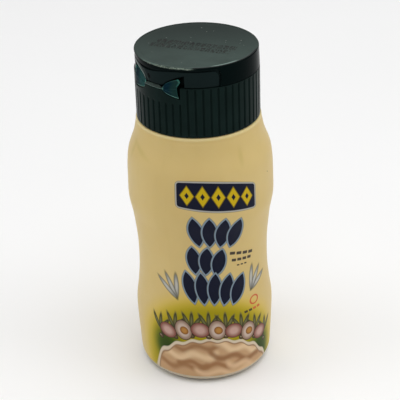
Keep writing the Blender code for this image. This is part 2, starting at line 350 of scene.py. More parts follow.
def length_of(x, y):
    """Return the length of a step along and across."""
    return vector_maths("LENGTH", join(x, y), out="Value")


def angle_from(x, y, degrees):
    """Return the angle round the axis off a given one, in radians."""
    return maths("WRAP", maths("ARCTAN2", x, 0.0 - y) - math.radians(degrees), math.pi, -math.pi)


def within(turn, start, end):
    """Return 1 between two angles, each given in degrees as the pair over which it fades."""
    return ease(turn, *map(math.radians, start)) * ease(turn, *map(math.radians, reversed(end)))


def noise(where, scale, detail=2.0, roughness=0.5, stretch=(1.0, 1.0, 1.0)):
    """Return a noise between 0 and 1, with its scale per metre and its stretch by axis."""
    scaled = vector_maths("MULTIPLY", where, tuple(scale * part for part in stretch))
    inputs = {"Vector": scaled, "Scale": 1.0, "Detail": detail, "Roughness": roughness}
    return step_on("ShaderNodeTexNoise", inputs)


def blend(mask, under, over):
    """Lay one colour over another where a mask says."""
    node = place(mask.socket.id_data, "ShaderNodeMix", data_type="RGBA")
    for name, value in (("Factor_Float", mask), ("A_Color", under), ("B_Color", over)):
        feed(next(socket for socket in node.inputs if socket.identifier == name), value)
    return Flow(next(socket for socket in node.outputs if socket.identifier == "Result_Color"))


def finish_of(name, ior=1.5, subsurface=0.0, depth=0.0):
    """Start a material, and return it with its shader and its Object coordinates."""
    material = bpy.data.materials.new(name)
    material.use_nodes = True
    shader = material.node_tree.nodes["Principled BSDF"]
    shader.inputs["IOR"].default_value = ior
    shader.inputs["Subsurface Weight"].default_value = subsurface
    shader.inputs["Subsurface Scale"].default_value = depth
    where = Flow(place(material.node_tree, "ShaderNodeTexCoord").outputs["Object"])
    return material, shader, where


def cover(shader, colour, roughness):
    """Give a shader its colour and its roughness."""
    feed(shader.inputs["Base Color"], colour)
    feed(shader.inputs["Roughness"], roughness)


def roughen(shader, height, distance, strength=1.0):
    """Bump a surface by a height between 0 and 1, of which 1 is the distance in metres."""
    inputs = {"Height": height, "Distance": distance, "Strength": strength}
    feed(shader.inputs["Normal"], place(shader.id_data, "ShaderNodeBump", inputs).outputs["Normal"])


def paint_left_flap(wall, turn, depth):
    """Lay painted light and shade by the lid's left flap: a painted reflection on its bevel, a painted
    highlight on its edge, and a painted shadow line, a painted highlight for the thin ridge and a painted
    shadow for the dent beside it.
    """
    opened = maths("MAXIMUM", abs(turn) - math.radians(WING_TIP_ANGLE), 0.0) / math.radians(WING_REACH)
    edge = WING_TIP_DEPTH - WING_RISE * maths("POWER", opened, WING_TOP_SPREAD["left"]) - FLAP_GAP
    above_edge = edge - depth
    left = within(turn, (-33.0, -31.0), (-12.0, -9.0))
    bevel = ease(above_edge, BEVEL_WIDTH, BEVEL_WIDTH - 0.3 * MM) * ease(above_edge, 0.05 * MM, 0.2 * MM)
    wall = blend(bevel * left * 0.9, wall, paint(62, 70, 67))
    lit_edge = ease(above_edge, LIT_EDGE_WIDTH, LIT_EDGE_WIDTH - 0.25 * MM)
    lit_edge = lit_edge * ease(above_edge, 0.2 * MM, 0.4 * MM)
    wall = blend(lit_edge * left * 0.8, wall, paint(120, 136, 132))
    along = turn * SEAM_RADIUS - RIDGE_START[0]
    down = depth - RIDGE_START[1]
    beside = along * RIDGE_WAY[1] - down * RIDGE_WAY[0]
    ahead = along * RIDGE_WAY[0] + down * RIDGE_WAY[1]
    ridge_length = ease(ahead, -0.6 * MM, 0.2 * MM) * ease(ahead, RIDGE_LENGTH, RIDGE_LENGTH - 0.6 * MM)
    ridge = ease(abs(beside), 0.3 * MM, 0.12 * MM)
    line = ease(abs(beside + 0.5 * MM), 0.34 * MM, 0.16 * MM)
    # Painted shadow line beside the ridge, then the ridge's painted highlight and the dent's painted shadow
    wall = blend(line * ridge_length, wall, paint(2, 5, 5))
    wall = blend(ridge * ridge_length * 0.8, wall, paint(62, 70, 67))
    dent = length_of((beside - DENT_PLACE[0]) * 1.6, ahead - DENT_PLACE[1])
    return blend(ease(dent, DENT_RADIUS, DENT_RADIUS - 0.4 * MM), wall, paint(1, 3, 3))


def green_plastic(name, ior):
    """Dark green moulded plastic, satin on the lid's top and glossier on its wall, with painted shade and
    painted highlights.
    """
    material, shader, where = finish_of(name, ior=ior)
    shader.inputs["Specular Tint"].default_value = (0.62, 1.0, 0.97, 1.0)
    x, y, z = split(where)
    height_below_top = LID_TOP - z
    radius = length_of(x, y)
    cloud = noise(where, 90.0, 3.0, 0.55)
    grain = noise(where, 2600.0, 2.0, 0.6)
    streak = noise(where, 420.0, 2.0, 0.5, (1.0, 1.0, 0.12))
    turn = angle_from(x, y, HINGE_ANGLE)
    # Painted shade round the right of the rim: the outer band of the lid's top takes the wall's dark paint,
    # standing for the rim's dark reflection
    rim_shade_sector = within(turn, (34.0, 42.0), (114.0, 128.0))
    edge_radius = radius + rim_shade_sector * ease(height_below_top, 0.7 * MM, 0.4 * MM) * RIM_SHADE_WIDTH
    at_edge = rim_shade_sector * ease(edge_radius, LID_RIM_RADIUS - 0.15 * MM, LID_RIM_RADIUS)
    on_top = ease(height_below_top, 0.42 * MM, 0.18 * MM) * (1.0 - at_edge)
    wall = blend(ease(cloud, 0.3, 0.75), paint(16, 27, 25), paint(20, 33, 31))
    wall = blend(ease(streak, 0.45, 0.8, 0.0, 0.35), wall, paint(20, 36, 33))
    on_lid = ease(z, SEAM - 0.3 * MM, SEAM)
    lid_wall = on_lid * ease(edge_radius, RECESS_RADIUS + 0.04 * MM, RECESS_RADIUS + 0.1 * MM)
    # Painted reflection and shade: the lid is painted a little paler than the skirt, which shows on its
    # recess panel, and its outer wall much darker
    wall = blend(on_lid * 0.7, wall, paint(25, 34, 35))
    wall = blend(lid_wall * 0.95, wall, paint(3, 10, 10))
    skirt_radius = SKIRT_TOP_RADIUS + (SKIRT_TOP - z) * SKIRT_TAPER
    on_skirt = ease(z, SKIRT_TOP - 0.2 * MM, SKIRT_TOP - 0.6 * MM)
    in_groove = ease(skirt_radius - radius, 0.1 * MM, 0.32 * MM) * on_skirt
    # Painted shade in the grooves between the ribs
    wall = blend(in_groove * 0.12, wall, paint(4, 10, 10))
    feed(shader.inputs["Specular IOR Level"], 0.5 - in_groove * 0.35)
    # Painted shadow deep in the pocket behind the lid's wall
    behind_wall = ease(radius, MOAT_RADIUS + 0.1 * MM, MOAT_RADIUS - 0.5 * MM)
    pocket_shadow = behind_wall * ease(height_below_top, 3.0 * MM, 3.4 * MM)
    wall = blend(pocket_shadow * 0.9, wall, paint(1, 3, 3))
    wall = paint_left_flap(wall, turn, height_below_top)
    # Painted light: the lid's top is painted lighter towards one side, standing for the light it reflects
    lit_side_turn = math.radians(LIT_SIDE_ANGLE)
    toward_lit_side = (x * math.sin(lit_side_turn) - y * math.cos(lit_side_turn)) / LID_RIM_RADIUS
    top = blend(ease(toward_lit_side, -1.0, 1.0), paint(32, 41, 38), paint(63, 77, 72))
    top = blend(ease(cloud, 0.3, 0.75, 0.0, 0.4), top, paint(45, 53, 50))
    nick = noise(where, 1300.0, 3.0, 0.7)
    # Painted highlights along the front of the rim, and a painted highlight ring inside the painted rim shade
    # where it is lit
    at_rim = ease(edge_radius, LID_RIM_RADIUS - 0.5 * MM, LID_RIM_RADIUS - 0.2 * MM)
    at_rim = at_rim * ease(height_below_top, 0.55 * MM, 0.3 * MM) * (1.0 - at_edge)
    torn = within(turn, (-2.0, 12.0), (32.0, 44.0))
    lit = within(turn, (54.5, 63.5), (79.5, 88.5))
    unlit = rim_shade_sector * (1.0 - lit)
    rim_highlight = ease(toward_lit_side, 0.3, 0.8) * ease(cloud, 0.25, 0.5, 0.4, 0.9) * (1.0 - unlit * 0.85)
    rim = blend(ease(nick, 0.42, 0.6), paint(46, 58, 52), paint(124, 138, 126))
    wall = blend(at_rim * rim_highlight, wall, paint(108, 128, 120))
    top = blend(at_rim * rim_highlight * 0.8, top, paint(108, 128, 120))
    highlight = ease(edge_radius, LID_RIM_RADIUS - 1.1 * MM, LID_RIM_RADIUS - 0.8 * MM) * (1.0 - at_edge)
    top = blend(highlight * rim_shade_sector * lit * 0.8, top, paint(118, 138, 130))
    ragged = ease(height_below_top + nick * 1.1 * MM, 1.25 * MM, 1.0 * MM)
    ragged = ragged * ease(radius, LID_RIM_RADIUS - 0.15 * MM, LID_RIM_RADIUS - 0.05 * MM)
    wall = blend(ragged * torn, wall, rim)
    frayed = ease(radius - nick * 0.8 * MM, LID_RIM_RADIUS - 1.1 * MM, LID_RIM_RADIUS - 0.8 * MM)
    top = blend(frayed * torn, top, rim)
    rough = ease(on_top, 0.0, 1.0, 0.24, 0.44) - lid_wall * 0.08 + (grain - 0.5) * 0.08 + (cloud - 0.5) * 0.08
    cover(shader, blend(on_top, wall, top), rough)
    roughen(shader, grain * ease(on_top, 0.0, 1.0, 0.35, 1.0) + streak * 0.6, 0.03 * MM, 0.6)
    return material


def teal_plastic(label):
    """The closure's plastic, drawn so thin that light passes: teal, with painted highlights at its edges, tip
    and curl, and painted light and shade along its creases.
    """
    at_tip, at_free_edge, edge_light = WING_TONES[label]
    material, shader, where = finish_of(
        "thin teal plastic of the %s wing" % label, ior=1.05, subsurface=0.08, depth=0.4 * MM)
    shader.inputs["Specular Tint"].default_value = (0.6, 1.0, 0.95, 1.0)
    route = Flow(place(shader.id_data, "ShaderNodeUVMap", uv_map="web").outputs[0])
    along, across, _ = split(route)
    fan = noise(join(along * 0.9, across * 11.0), 1.0, 3.0, 0.6)
    cloud = noise(where, 700.0, 2.0, 0.5)
    colour = blend(ease(along, 0.3, 0.75), paint(*at_tip), paint(*at_free_edge))
    # Painted light and shade along the creases: paler and darker streaks that fan out from the tip
    colour = blend(ease(fan, 0.5, 0.7, 0.0, 0.4), colour, paint(46, 78, 78))
    colour = blend(ease(fan, 0.48, 0.36) * ease(along, 0.6, 0.3), colour, paint(4, 20, 34))
    colour = blend(ease(fan, 0.62, 0.74, 0.0, 0.45), colour, paint(62, 96, 94))
    colour = blend(ease(cloud, 0.5, 0.8, 0.0, 0.5), colour, paint(5, 30, 32))
    # Painted highlights along the wing's top and foot edges, its curl, its free edge and its tip
    colour = blend(ease(across, 0.05, 0.01, 0.0, 0.7), colour, paint(44, 84, 80))
    colour = blend(ease(across, 0.92, 0.985), colour, paint(112, 160, 148))
    curl = ease(along, 0.86, 0.97) * ease(across, 0.42, 0.3)
    colour = blend(ease(along, 0.94, 1.0, 0.0, edge_light) + curl * 0.6, colour, paint(60, 116, 104))
    colour = blend(ease(along, 0.07, 0.02, 0.0, 0.85), colour, paint(104, 156, 146))
    cover(shader, colour, 0.26 + cloud * 0.15)
    roughen(shader, fan, 0.2 * MM, 0.9)
    return material


def strap_plastic():
    """The strap's plastic, with a painted highlight along its lower edge."""
    material, shader, where = finish_of("pale bent hinge plastic", ior=1.25)
    streak = noise(where, 900.0, 3.0, 0.6)
    worn = noise(where, 3500.0, 2.0, 0.6)
    colour = blend(ease(streak, 0.35, 0.7), paint(38, 50, 46), paint(56, 70, 64))
    height = split(where)[2]
    # Painted highlight along the strap's lower edge
    lower_edge = LID_TOP - STRAP_FOOT_DEPTH + 0.45 * MM
    at_edge = ease(height, lower_edge, lower_edge - 0.2 * MM, 0.0, 0.8)
    cover(shader, blend(at_edge, colour, paint(84, 122, 112)), 0.34 + worn * 0.2)
    roughen(shader, worn, 0.03 * MM, 0.5)
    return material


def mottled(name, ior, scale, patches, roughness, *tones):
    """Return a material of two tones in patches, with its roughness given as a base and a share of them."""
    material, shader, where = finish_of(name, ior=ior)
    tone = noise(where, scale, 2.0, 0.6)
    colour = blend(ease(tone, *patches), *(paint(*each) for each in tones))
    cover(shader, colour, roughness[0] + tone * roughness[1])
    return material


class Print:
    """Fields of colour laid one over another on the bottle, in millimetres from the middle of its front."""

    def __init__(self, spot, colour):
        self.spot = spot
        self.colour = colour

    def off(self, middle, turn=0.0, half=(1.0, 1.0)):
        """Return how far along and across a shape a place lies off its middle, in halves of its size."""
        shifted = vector_maths("SUBTRACT", self.spot, (*middle, 0.0))
        side = math.sin(math.radians(turn))
        ahead = math.cos(math.radians(turn))
        along = (ahead / half[0], side / half[0], 0.0)
        across = (-side / half[1], ahead / half[1], 0.0)
        return [vector_maths("DOT_PRODUCT", shifted, way, out="Value") for way in (along, across)]

    def oval(self, middle, half, turn=0.0):
        """Return the distance outside an oval, in millimetres, negative inside."""
        return (length_of(*self.off(middle, turn, half)) - 1.0) * min(half)

    def box(self, middle, half, corner, turn=0.0):
        """Return the distance outside a box with round corners, in millimetres."""
        x, y = self.off(middle, turn)
        beyond_x = maths("MAXIMUM", abs(x) - (half[0] - corner), 0.0)
        beyond_y = maths("MAXIMUM", abs(y) - (half[1] - corner), 0.0)
        return length_of(beyond_x, beyond_y) - corner

    def ribbon(self, middle, half, swing, waves, shift=0.0, turn=0.0):
        """Return the distance outside a waving ribbon with round ends, in millimetres."""
        x, y = self.off(middle, turn)
        bend = maths("SINE", x * (math.pi * waves / half[0]) + shift) * swing
        beyond = maths("MAXIMUM", abs(x) - (half[0] - half[1]), 0.0)
        return length_of(beyond, y - bend) - half[1]

    def leaf(self, middle, half, turn):
        """Return the distance outside a leaf with a point at both ends, in millimetres."""
        x, y = self.off(middle, turn)
        bow = (half[0] ** 2 + half[1] ** 2) / (2.0 * half[0])
        return length_of(abs(x) + (bow - half[0]), y) - bow

    def lozenge(self, middle, half):
        """Return the distance outside an upright lozenge, in millimetres."""
        x, y = self.off(middle, 0.0, half)
        return (abs(x) + abs(y) - 1.0) * (0.8 * min(half))

    def lay(self, distance, colour, edge=0.12, strength=1.0, bound=None):
        """Lay a colour inside a distance, and inside another one if that is given."""
        mask = ease(distance, edge, -edge, 0.0, strength)
        if bound is not None:
            mask = mask * ease(bound, 0.3, -0.3)
        self.colour = blend(mask, self.colour, colour)

    def shaded(self, distance, depth, colour, rim_colour, edge=0.12):
        """Lay a colour inside a distance that turns into another towards its rim."""
        inside = blend(ease(distance, -depth, 0.0), colour, rim_colour)
        self.lay(distance, inside, edge)


# Faint olive streaks by place along and up, length and turn; rows of leaves by middle, count, height and half
# size
FAINT_STREAKS = ((-37.6, 102.6, 5.6, -8.0), (-43.2, 100.4, 3.4, 82.0), (11.9, 110.2, 3.0, 84.0))
LEAF_ROWS = ((-0.9, 4, 76.9, (2.9, 7.0)), (-5.2, 3, 62.1, (2.9, 6.7)), (-1.8, 5, 48.5, (2.9, 7.5)))

# Garland: its pieces, their pitch, its middle, and how much it falls off to both sides
GARLAND_STEPS = 7
GARLAND_PITCH = 7.3
GARLAND_MIDDLE = (-1.5, 28.6)
GARLAND_FALL = 0.011

# Flat colours of the print
NAVY = paint(13, 18, 40)
PALE_BLUE = paint(128, 146, 160)
YELLOW = paint(204, 174, 20)
RED = paint(202, 84, 56)


def print_green_field(art):
    """Lay the soft green field that rises from the foot of the bottle, deeper at both sides."""
    art.lay(art.oval((-1.5, 7.0), (37.0, 37.5)), paint(214, 184, 44), 6.0, 0.9)
    art.lay(art.oval((-1.5, 7.5), (33.0, 33.5)), paint(154, 142, 6), 5.0, 0.94)
    for along in (-24.0, 21.0):
        art.lay(art.oval((along, 14.5), (6.6, 9.6)), paint(64, 92, 0), 3.2, 0.95)
        art.lay(art.oval((along, 12.5), (4.4, 7.4)), paint(38, 62, 0), 2.8, 0.9)


def print_waves(art):
    """Lay a low mound of cream and tan waves with a scalloped edge across the foot."""
    x, _ = art.off(GARLAND_MIDDLE)
    scallop = maths("COSINE", x * (2.0 * math.pi / GARLAND_PITCH)) * 0.5
    swell = art.oval((-1.5, -5.0), (31.0, 29.0)) + scallop
    art.lay(swell, paint(214, 198, 174), 0.3)
    art.lay(swell + 1.4, paint(134, 94, 60), 0.4)
    inside = swell + 1.9
    art.lay(inside, paint(196, 158, 118), 0.6)
    waves = (
        ((-10.0, 18.5), (12.0, 1.4), 1.2, 2.0, 2.0, 14.0, paint(150, 108, 72), 1.4),
        ((9.0, 18.0), (12.0, 1.6), 1.2, 2.0, 0.4, -16.0, paint(230, 200, 160), 1.4),
        ((-14.0, 13.0), (13.0, 1.8), 1.3, 2.0, 0.6, 12.0, paint(230, 200, 160), 1.6),
        ((7.0, 13.5), (13.0, 1.5), 1.3, 2.0, 2.0, -10.0, paint(146, 102, 66), 1.3),
        ((-3.0, 9.5), (17.0, 1.3), 1.1, 3.0, 1.0, 2.0, paint(156, 110, 72), 1.1),
        ((14.0, 8.0), (12.0, 1.6), 1.2, 2.0, 3.0, -14.0, paint(224, 190, 150), 1.5),
        ((-17.0, 6.5), (12.0, 1.5), 1.1, 2.0, 1.2, 10.0, paint(158, 114, 76), 1.4),
        ((1.0, 5.5), (13.0, 1.3), 1.0, 2.0, 2.4, 0.0, paint(224, 190, 150), 1.4),
    )
    for middle, half, swing, count, shift, turn, colour, edge in waves:
        art.lay(art.ribbon(middle, half, swing, count, shift, turn), colour, edge, 0.85, inside)


def print_egg(art, middle, size, turn):
    """Print a halved boiled egg."""
    white = art.oval(middle, (1.28 * size, size), turn)
    art.lay(white - 0.3, paint(74, 54, 40))
    art.shaded(white, 1.8, paint(198, 178, 162), paint(148, 120, 102))
    yolk = art.oval((middle[0] + 0.12 * size, middle[1]), (0.55 * size, 0.52 * size), turn)
    art.shaded(yolk, 1.2, paint(182, 130, 64), paint(136, 86, 40))


def print_radish(art, middle, size):
    """Print a slice of radish."""
    skin = art.oval(middle, (size, 0.9 * size), 10.0)
    art.lay(skin - 0.25, paint(70, 50, 40))
    art.lay(skin, paint(138, 84, 74))
    flesh = art.oval(middle, (0.84 * size, 0.75 * size), 10.0)
    art.shaded(flesh, 1.8, paint(196, 160, 148), paint(150, 110, 96))


def print_sprig(art, root, leaves, length, half_width, tones, lean=90.0, spread=32.0):
    """Print a sprig of slim leaves that fan out from a root."""
    for step in range(leaves):
        turn = lean + spread * (step - 0.5 * (leaves - 1))
        x = root[0] + (length + 0.6) * math.cos(math.radians(turn))
        y = root[1] + (length + 0.6) * math.sin(math.radians(turn))
        leaf = art.oval((x, y), (length, half_width), turn)
        art.lay(leaf - 0.2, paint(84, 80, 58), 0.2, 0.7)
        art.shaded(leaf, 0.8 * half_width, *tones)


def garland_place(step):
    """Return where a piece of the garland lies, counted from its middle."""
    along = GARLAND_PITCH * step
    return GARLAND_MIDDLE[0] + along, GARLAND_MIDDLE[1] - GARLAND_FALL * along * along


def print_garland(art):
    """Print a garland of radish slices and halved eggs in turn, with herbs and peppercorns between."""
    x, y = art.off(GARLAND_MIDDLE)
    bow = y + x * x * GARLAND_FALL
    end = 0.5 * GARLAND_STEPS * GARLAND_PITCH
    band = maths("MAXIMUM", abs(bow) - 3.0, abs(x) - end)
    art.shaded(band, 3.0, paint(98, 76, 54), paint(58, 42, 28), 0.8)
    last = 0.5 * (GARLAND_STEPS - 1)
    for gap in range(GARLAND_STEPS + 1):
        along, height = garland_place(gap - last - 0.5)
        print_sprig(art, (along, height + 0.6), 3, 3.5, 0.8, (paint(110, 108, 66), paint(56, 56, 34)))
        seed = (along, height - 3.0 - 0.5 * (gap % 2))
        art.shaded(art.oval(seed, (1.3, 1.15)), 0.9, paint(104, 86, 58), paint(46, 36, 26))
        art.lay(art.oval((seed[0] - 0.3, seed[1] + 0.4), (0.35, 0.25)), paint(170, 156, 128), 0.15)
    for step in range(GARLAND_STEPS):
        middle = garland_place(step - last)
        if step % 2:
            print_egg(art, middle, 3.6, 90.0 - 3.0 * (step - last))
        else:
            print_radish(art, middle, 3.9)


def print_plate(art):
    """Print a plain navy plate, arched a little, with a row of yellow lozenges."""
    straight = art.spot
    x, y = art.off((0.0, 0.0))
    part = x / 17.0
    foot = 87.0
    art.spot = join(x, (y - foot) / (1.0 + (1.0 - part * part) * 0.2) + foot)
    plate = art.box((0.2, 92.8), (17.1, 5.8), 1.6)
    art.lay(plate - 0.1, paint(86, 86, 78), 0.14, 0.7)
    art.lay(plate + 0.1, paint(176, 174, 168))
    art.lay(plate + 0.6, NAVY)
    for step in range(5):
        lozenge = art.lozenge((0.2 + 6.2 * (step - 2), 92.8), (3.0, 4.3))
        art.lay(lozenge, paint(120, 100, 20))
        art.lay(lozenge + 0.3, YELLOW)
        art.lay(art.lozenge((0.2 + 6.2 * (step - 2), 92.8), (0.9, 1.3)), NAVY)
    art.spot = straight


def outlined(art, distance):
    """Print a navy shape with a pale blue outline and a fine dark line round that."""
    art.lay(distance - 0.8, paint(84, 86, 76), 0.14, 0.7)
    art.lay(distance - 0.6, PALE_BLUE)
    art.lay(distance, NAVY)


def print_leaves(art):
    """Print three rows of navy leaves, each row spread like a fan."""
    for middle, count, height, half in LEAF_ROWS:
        for step in range(count):
            place_in_row = step - 0.5 * (count - 1)
            turn = -(4.0 + 9.0 * place_in_row)
            along = middle + 5.5 * place_in_row
            outlined(art, art.leaf((along, height - 0.3 * abs(place_in_row)), half, turn))


def print_small_marks(art):
    """Print short dashes and a red ring right of the leaves, and a slim grey sprig at both sides."""
    dashes = (
        (6.6, 66.0, 4, 3.3, -0.35, 1.3, 0.75),
        (7.4, 62.4, 4, 2.8, 0.0, 1.1, 0.7),
        (9.6, 59.6, 3, 2.0, 0.1, 0.7, 0.35),
    )
    for start, height, count, pitch, rise, length, width in dashes:
        for step in range(count):
            middle = (start + pitch * step, height + rise * step)
            art.lay(art.box(middle, (length, width), 0.3, -3.0), NAVY, 0.14, 0.9)
    for root, lean in (((-19.0, 40.5), 118.0), ((16.4, 45.8), 58.0)):
        print_sprig(art, root, 3, 5.6, 1.1, (paint(190, 188, 180), paint(128, 128, 122)), lean, 26.0)
    ring = art.oval((17.8, 40.6), (2.9, 2.1), 20.0)
    art.lay(abs(ring + 0.3) - 0.32, RED, 0.14, 0.9)
    for step, colour in enumerate((NAVY, NAVY, RED, RED)):
        art.lay(art.box((12.4 + 2.5 * step, 36.0 + 0.3 * step), (0.95, 0.55), 0.2, 8.0), colour, 0.14, 0.85)


def print_blemishes(art):
    """Lay three faint olive streaks and a dark speck."""
    for place_along, height, length, turn in FAINT_STREAKS:
        art.lay(art.oval((place_along, height), (length, 1.0), turn), paint(190, 170, 96), 1.0, 0.34)
    art.lay(art.oval((26.5, 100.7), (0.26, 0.22)), paint(56, 44, 30), 0.12, 0.9)


def cream_plastic():
    """The blown bottle: natural plastic over cream-coloured contents, printed on the front."""
    material, shader, where = finish_of(
        "cream bottle plastic", ior=1.2, subsurface=0.2, depth=3.0 * MM)
    shader.inputs["Subsurface Radius"].default_value = (1.0, 0.72, 0.36)
    x, y, z = split(where)
    turn = angle_from(x, y, 0.0)
    cloud = noise(where, 34.0, 3.0, 0.5)
    fine = noise(where, 900.0, 3.0, 0.6)
    flow = noise(where, 160.0, 2.0, 0.5, (1.0, 1.0, 0.1))
    cream = blend(ease(cloud, 0.3, 0.75), paint(211, 185, 122), paint(216, 191, 130))
    cream = blend(ease(flow, 0.5, 0.85, 0.0, 0.3), cream, paint(205, 179, 114))
    # Painted highlight: a paler ring on the shoulder's rounded top edge under the closure
    shoulder = ease(z, SKIRT_FOOT - 1.7 * MM, SKIRT_FOOT - 1.0 * MM)
    cream = blend(shoulder * 0.5, cream, paint(232, 216, 164))
    along = turn * PRINT_RADIUS + (fine - 0.5) * 0.1
    art = Print(join(along, z * 1000.0 + along * PRINT_SLOPE), cream)
    print_blemishes(art)
    print_green_field(art)
    print_waves(art)
    print_garland(art)
    print_small_marks(art)
    print_leaves(art)
    print_plate(art)
    foot = ease(z, 4.3 * MM, 3.7 * MM, 0.0, 0.9)
    cover(shader, blend(foot, art.colour, paint(196, 186, 164)), 0.3 + fine * 0.1 + cloud * 0.06)
    off_seam = abs(abs(turn) - 0.5 * math.pi) * PRINT_RADIUS
    parting = ease(off_seam, 0.32, 0.08) * ease(z, 4.0 * MM, 8.0 * MM)
    roughen(shader, fine * 0.3 + flow * 0.7 + parting * 2.0, 0.05 * MM, 0.5)
    return material


def floor_white():
    """A pale studio floor."""
    material, shader, where = finish_of("pale studio floor")
    tone = noise(where, 6.0)
    cover(shader, blend(tone, paint(249, 249, 249), paint(252, 252, 252)), 0.9)
    return material


def add_object(name, mesh):
    """Put a mesh in the scene under a name."""
    item = bpy.data.objects.new(name, mesh)
    bpy.context.scene.collection.objects.link(item)
    return item


def shade(item, sharp_degrees=40.0):
    """Shade a piece smooth, with its corners sharp."""
    item.data.shade_smooth()
    item.data.set_sharp_from_angle(angle=math.radians(sharp_degrees))
    return item


def lathe(name, section, angles):
    """Loft a closed shell round the axis, from a section given at each angle from one pole to the other."""
    bm = bmesh.new()
    columns = []
    first = section(angles[0])
    top = bm.verts.new((0.0, 0.0, first[0][1]))
    foot = bm.verts.new((0.0, 0.0, first[-1][1]))
    for angle in angles:
        inner = section(angle)[1:-1]
        columns.append([bm.verts.new(around(angle, radius, height)) for radius, height in inner])
    for near, far in zip(columns, columns[1:] + columns[:1]):
        bm.faces.new((top, near[0], far[0]))
        for row in range(len(near) - 1):
            bm.faces.new((near[row], near[row + 1], far[row + 1], far[row]))
        bm.faces.new((near[-1], foot, far[-1]))
    bmesh.ops.remove_doubles(bm, verts=bm.verts, dist=0.002 * MM)
    bmesh.ops.dissolve_degenerate(bm, edges=bm.edges, dist=0.002 * MM)
    mesh = bpy.data.meshes.new(name)
    bm.to_mesh(mesh)
    bm.free()
    return add_object(name, mesh)


def smooth_wall(stations, steps):
    """Return the radius and height of points on one smooth curve through the stations."""
    slopes = []
    for index in range(len(stations)):
        before = stations[max(index - 1, 0)]
        after = stations[min(index + 1, len(stations) - 1)]
        slopes.append((after[1] - before[1]) / (after[0] - before[0]))
    points = []
    for index in range(len(stations) - 1):
        height, radius = stations[index]
        next_height, next_radius = stations[index + 1]
        span = next_height - height
        for step in range(steps):
            t = step / steps
            mix = t * t * (3.0 - 2.0 * t)
            swing = span * (slopes[index] * t * (1.0 - t) ** 2 - slopes[index + 1] * t * t * (1.0 - t))
            points.append((radius + (next_radius - radius) * mix + swing, height + span * t))
    last_height, last_radius = stations[-1]
    points.append((last_radius, last_height))
    return points


def bottle_section(angle):
    """Return the bottle's outline, from the top of its neck to the middle of its base."""
    ledge = SKIRT_FOOT - GAP
    shoulder_radius = STATIONS[0][1]
    heel_radius = STATIONS[-1][1]
    points = [(0.0, ledge + NECK_LENGTH), (NECK_RADIUS, ledge + NECK_LENGTH), (NECK_RADIUS, ledge)]
    points += arc(shoulder_radius - SHOULDER_EDGE, ledge - SHOULDER_EDGE, SHOULDER_EDGE, 90.0, 0.0, 10)
    groove = ledge - SHOULDER_GROOVE_DROP
    for radius, height in smooth_wall(STATIONS, 12):
        sink = SHOULDER_GROOVE_DEPTH * math.exp(-((height - groove) / SHOULDER_GROOVE_WIDTH) ** 2)
        points.append((radius - sink, height))
    points += arc(heel_radius - HEEL_RADIUS, HEEL_RADIUS, HEEL_RADIUS, 0.0, -90.0, 16)[1:]
    points += [(FOOT_INNER_RADIUS, 0.0), (FOOT_INNER_RADIUS - 0.3 * MM, 0.1 * MM)]
    points += [(DISH_RADIUS, DISH_DEPTH - 0.2 * MM), (DISH_RADIUS - 0.6 * MM, DISH_DEPTH), (0.0, DISH_DEPTH)]
    return points


def make_bottle():
    """Make the bottle's skin, which stands for the solid bottle."""
    angles = [360.0 * step / BOTTLE_FACETS for step in range(BOTTLE_FACETS)]
    bottle = shade(lathe("bottle_skin", bottle_section, angles), 50.0)
    bottle.data.materials.append(cream_plastic())
    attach(bottle, BODY)
    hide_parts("bottle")


def off_hinge(angle):
    """Return how far an angle is off the middle of the hinge, in degrees to either side."""
    return (angle - HINGE_ANGLE + 180.0) % 360.0 - 180.0


def recess_mouth(off, inset=0.0):
    """Return how open the recess is, from 0 at its round ends to 1."""
    inside = (RECESS_HALF_ANGLE - inset - abs(off)) / RECESS_END_ANGLE
    return math.sqrt(max(0.0, 1.0 - (1.0 - min(max(inside, 0.0), 1.0)) ** 2))


def rim_depth(off):
    """Return how far down the rim's lower edge lies, which dips at the hinge."""
    part = min(abs(off - RIM_DIP_MIDDLE) / RIM_DIP_HALF_ANGLE, 1.0)
    dip = 0.5 + 0.5 * math.cos(math.pi * part)
    return RIM_DEPTH + (RIM_DEPTH_AT_HINGE - RIM_DEPTH) * dip


def recess_heights(off):
    """Return the heights of the recess's upper edge, of its panel's upper edge and of its lower edge."""
    lid_height = LID_TOP - SEAM
    depth = rim_depth(off)
    middle = 0.5 * (depth + lid_height)
    upper = LID_TOP - middle + (middle - depth) * recess_mouth(off)
    middle = 0.5 * (RIM_DEPTH + lid_height)
    lower = LID_TOP - middle - (lid_height + RECESS_OVERRUN - middle) * recess_mouth(off)
    middle = 0.5 * (depth + MOAT_HEIGHT + lid_height)
    panel = LID_TOP - middle + (middle - depth - MOAT_HEIGHT) * recess_mouth(off, MOAT_END_ANGLE)
    if abs(off) > RECESS_HALF_ANGLE - MOAT_END_ANGLE:
        panel = lower
    return upper, panel, lower


def side_of(off):
    """Return the side of the hinge that an angle off it lies on, as seen from outside."""
    return "right" if off > 0.0 else "left"


def wing_spread(off, power):
    """Return how far a wing has opened at an angle off the hinge, from 0 at its tip to 1."""
    return max(0.0, (abs(off) - WING_TIP_ANGLE) / WING_REACH) ** power


def lid_foot(off):
    """Return the height of the lid's lower edge, which curves up over the wings."""
    if STRAP_HALF_ANGLE < abs(off) < FLAP_HALF_ANGLE:
        spread = wing_spread(off, WING_TOP_SPREAD[side_of(off)])
        return max(SEAM, LID_TOP - WING_TIP_DEPTH + WING_RISE * spread + FLAP_GAP)
    return SEAM


def lid_wall_radius(height):
    """Return the radius of the lid's outer wall, which widens a little towards the seam."""
    part = (LID_TOP - LID_EDGE - height) / (LID_TOP - LID_EDGE - SEAM)
    return LID_RIM_RADIUS + (SEAM_RADIUS - LID_RIM_RADIUS) * part


